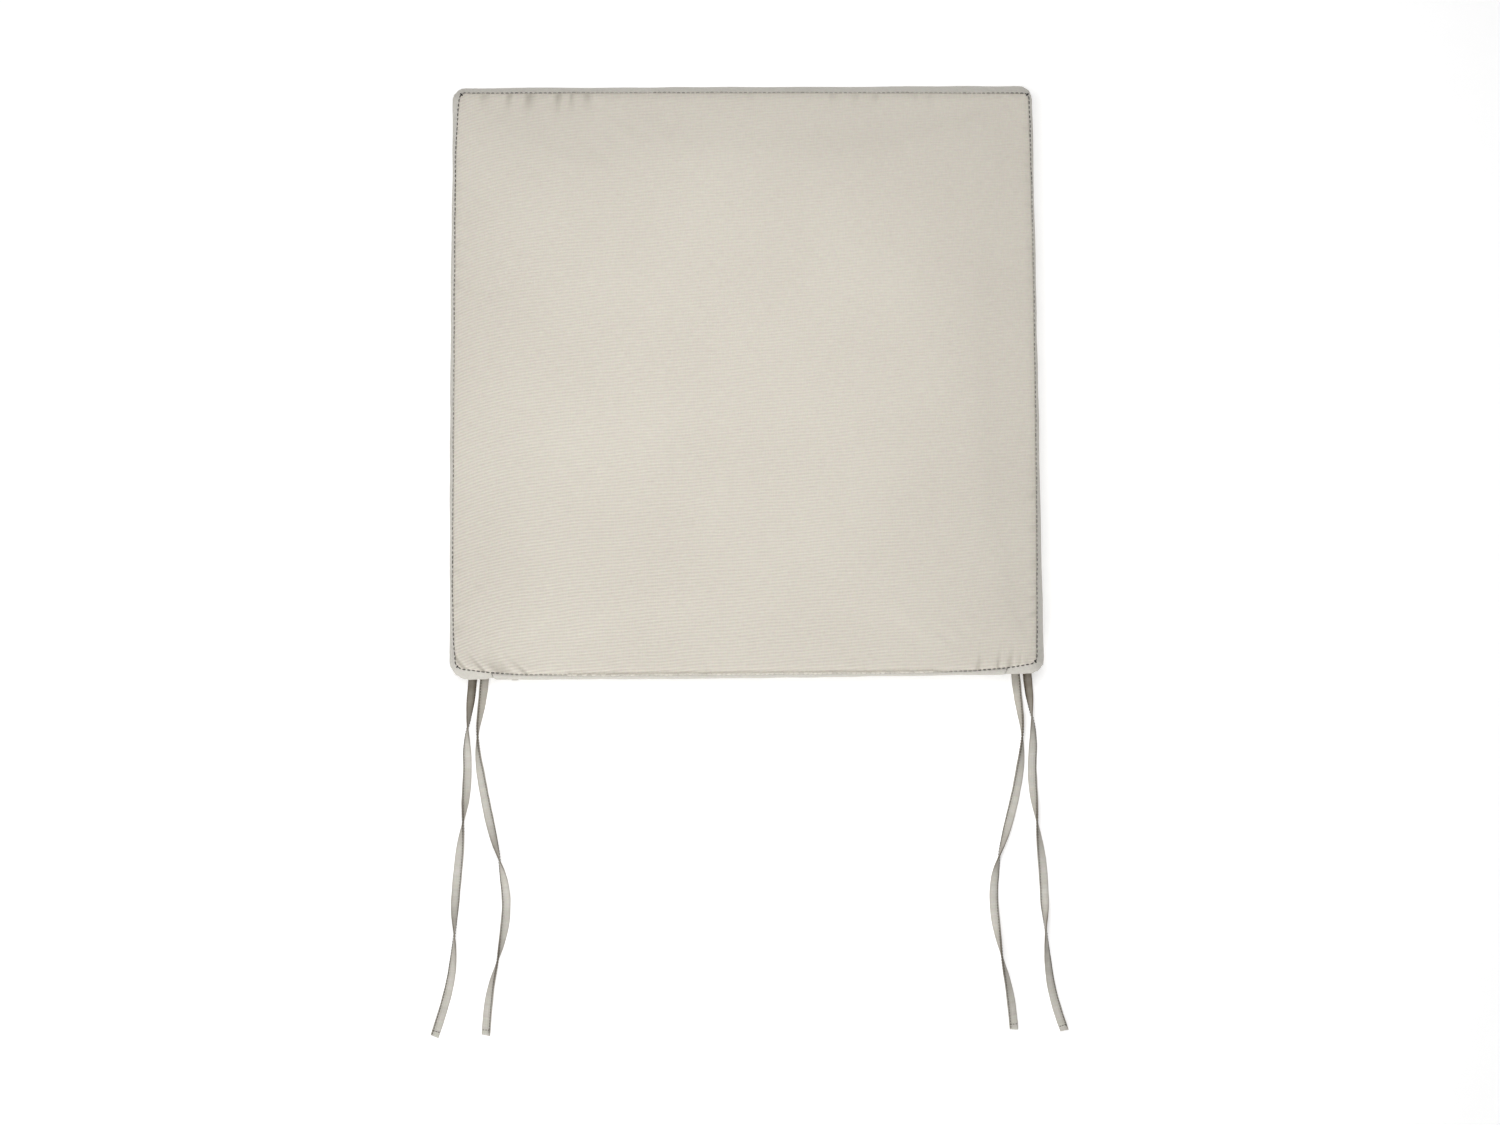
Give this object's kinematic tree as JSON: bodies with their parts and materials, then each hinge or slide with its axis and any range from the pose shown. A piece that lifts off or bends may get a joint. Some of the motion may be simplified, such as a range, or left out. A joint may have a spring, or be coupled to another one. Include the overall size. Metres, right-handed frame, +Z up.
{
  "type": "chair seat pad",
  "caption": "Square boxed seat pad: foam core in a plain sewn cover with a zip panel, and tie bands at the corners of the zip side.",
  "frame": {"origin": "middle of the pad's flat underside, without the ties", "axes": "+Z up through the pad's thickness; -Y towards the side with the zip and the ties; +X to the right when seen from that side"},
  "size_m": [0.5382, 0.8018, 0.05],
  "materials": {
    "cover_cloth": "fine plain-weave polyester, matte, warm light grey",
    "tie_cloth": "the cover's cloth folded into a narrow band and stitched along one edge",
    "seam_thread": "spun polyester sewing thread",
    "zip_tape": "woven polyester tape, dyed to match",
    "zip_coil": "polyester coil, dyed to match",
    "zip_metal": "enamelled zinc alloy, dyed to match",
    "foam": "open-cell polyurethane foam, inside the cover"
  },
  "bodies": {
    "pad": {"foam_core": "foam", "top_panel": "cover_cloth", "bottom_panel": "cover_cloth", "wrap_border": "cover_cloth", "zip_panel_upper": "cover_cloth", "zip_panel_lower": "cover_cloth", "top_seam_thread": "seam_thread", "bottom_seam_thread": "seam_thread", "join_thread_left": "seam_thread", "join_thread_right": "seam_thread", "zip_stitches_upper": "seam_thread", "zip_stitches_lower": "seam_thread", "zip_tape_upper": "zip_tape", "zip_tape_lower": "zip_tape", "zip_coil_upper": "zip_coil", "zip_coil_lower": "zip_coil", "tie_left_outer": "tie_cloth", "tie_left_inner": "tie_cloth", "tie_right_inner": "tie_cloth", "tie_right_outer": "tie_cloth"},
    "slider": {"zip_slider": "zip_metal"},
    "pull": {"zip_pull": "zip_metal"}
  },
  "joints": [
    {"name": "zip_travel", "type": "slide", "parent": "pad", "child": "slider", "axis": [1, 0, 0], "range_m": [0, 0.393]},
    {"name": "pull_swing", "type": "hinge", "parent": "slider", "child": "pull", "pos_m": [-0.1941, -0.24955, 0.024], "axis": [0, 0, -1], "range_deg": [0, 180]}
  ]
}
